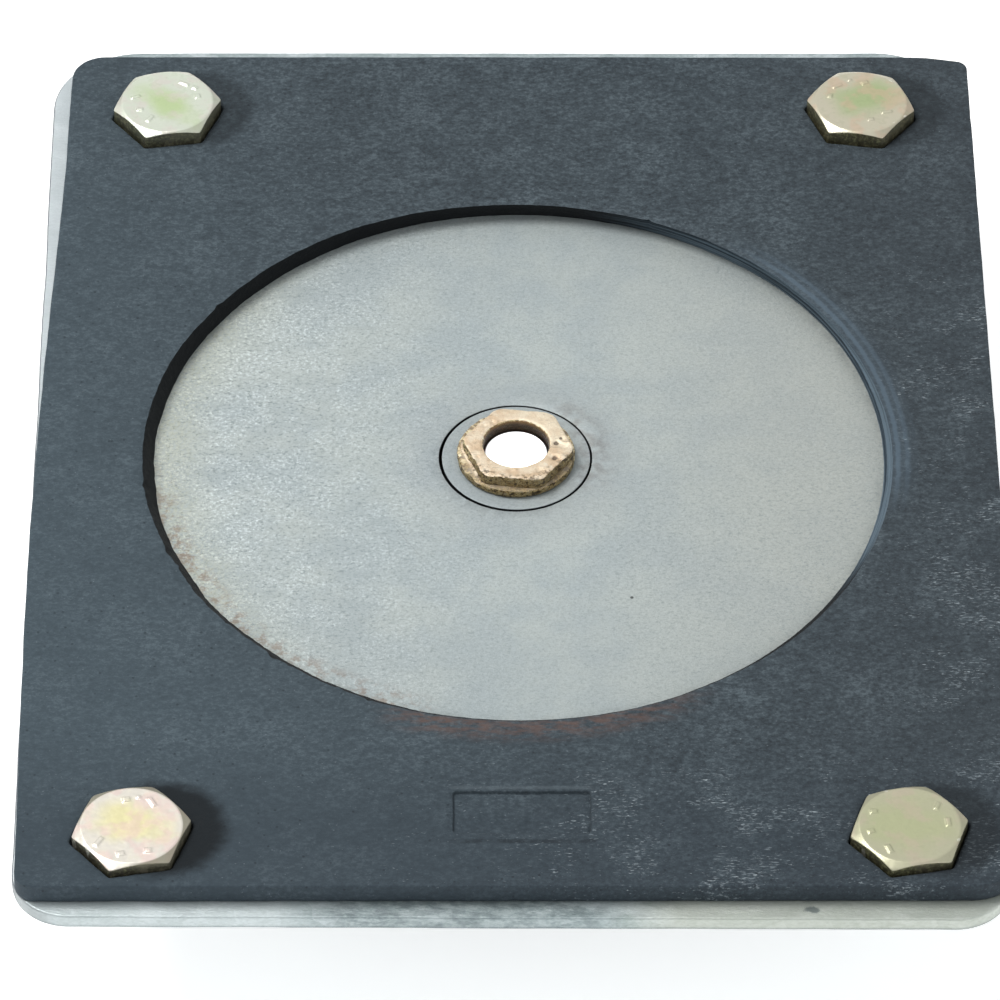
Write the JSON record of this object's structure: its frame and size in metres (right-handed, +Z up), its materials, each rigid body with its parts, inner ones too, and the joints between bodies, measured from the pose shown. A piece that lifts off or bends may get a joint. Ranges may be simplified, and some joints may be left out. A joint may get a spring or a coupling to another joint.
{
  "type": "lifting magnet",
  "caption": "Flange-mounted switchable permanent lifting magnet with a rubber top pad, round lid, hollow shaft turned by a brass hexagon, and a working face underneath.",
  "frame": {"origin": "where the rotor's axis meets the working face (the lowest plane)", "axes": "+Z up along the rotor's axis towards the brass nut; X across the short side of the flange; Y along its long side, the maker's panel at -Y"},
  "size_m": [0.1824, 0.2349, 0.0453],
  "materials": {
    "bronze": "sintered bronze",
    "cage_aluminium": "milled aluminium",
    "felt": "oiled felt",
    "galvanised_plate": "zinc galvanised sheet steel, dull spangle, light mottling and white edge",
    "ground_steel": "ground low-carbon steel",
    "lid_steel": "galvanised steel, fine granular matte, grey with beige staining at the rim",
    "machined_steel": "turned low-carbon steel",
    "magnet_alloy": "nickel-plated sintered magnet",
    "nut_brass": "brass with spanner marks, bright top and dull olive sides",
    "pad_rubber": "dark blue-grey moulded rubber, matte, pale flecks and a rust stain at the window",
    "pot_paint": "dark grey textured paint, working rim bare",
    "seal_rubber": "black nitrile rubber",
    "spacer_brass": "cast brass, face ground with the shoes",
    "spring_steel": "phosphated spring steel",
    "weld_steel": "weld metal, zinc sprayed",
    "white_nylon": "translucent white nylon",
    "yellow_zinc": "yellow zinc plating, pale green-gold with a faint rainbow sheen"
  },
  "bodies": {
    "housing": {"bolt_front_left": "yellow_zinc", "bolt_front_right": "yellow_zinc", "bolt_keeper_front_left": "spring_steel", "bolt_keeper_front_right": "spring_steel", "bolt_keeper_rear_left": "spring_steel", "bolt_keeper_rear_right": "spring_steel", "bolt_rear_left": "yellow_zinc", "bolt_rear_right": "yellow_zinc", "dust_seal": "felt", "fixed_magnet_north_1": "magnet_alloy", "fixed_magnet_north_2": "magnet_alloy", "fixed_magnet_north_3": "magnet_alloy", "fixed_magnet_south_1": "magnet_alloy", "fixed_magnet_south_2": "magnet_alloy", "fixed_magnet_south_3": "magnet_alloy", "flange_plate": "galvanised_plate", "lid_o_ring": "seal_rubber", "lid_screw_1": "yellow_zinc", "lid_screw_2": "yellow_zinc", "lid_screw_3": "yellow_zinc", "lid_screw_4": "yellow_zinc", "lid_screw_5": "yellow_zinc", "lid_screw_6": "yellow_zinc", "lower_bush": "bronze", "pole_shoe_north_1": "ground_steel", "pole_shoe_north_2": "ground_steel", "pole_shoe_north_3": "ground_steel", "pole_shoe_south_1": "ground_steel", "pole_shoe_south_2": "ground_steel", "pole_shoe_south_3": "ground_steel", "pole_spacer": "spacer_brass", "pot_housing": "pot_paint", "rubber_pad": "pad_rubber", "stop_pin": "ground_steel", "thrust_washer": "bronze", "top_lid": "lid_steel", "weld_bead": "weld_steel"},
    "rotor": {"bore_liner": "white_nylon", "brass_nut": "nut_brass", "drive_key": "machined_steel", "hollow_shaft": "ground_steel", "hub_ring": "lid_steel", "rotor_cage": "cage_aluminium", "rotor_magnet_north_1": "magnet_alloy", "rotor_magnet_north_2": "magnet_alloy", "rotor_magnet_north_3": "magnet_alloy", "rotor_magnet_south_1": "magnet_alloy", "rotor_magnet_south_2": "magnet_alloy", "rotor_magnet_south_3": "magnet_alloy", "rotor_yoke": "machined_steel", "shaft_circlip": "spring_steel"}
  },
  "joints": [
    {"name": "rotor_turn", "type": "hinge", "parent": "housing", "child": "rotor", "pos_m": [0, 0, 0], "axis": [0, 0, 1], "range_deg": [0, 60]}
  ]
}
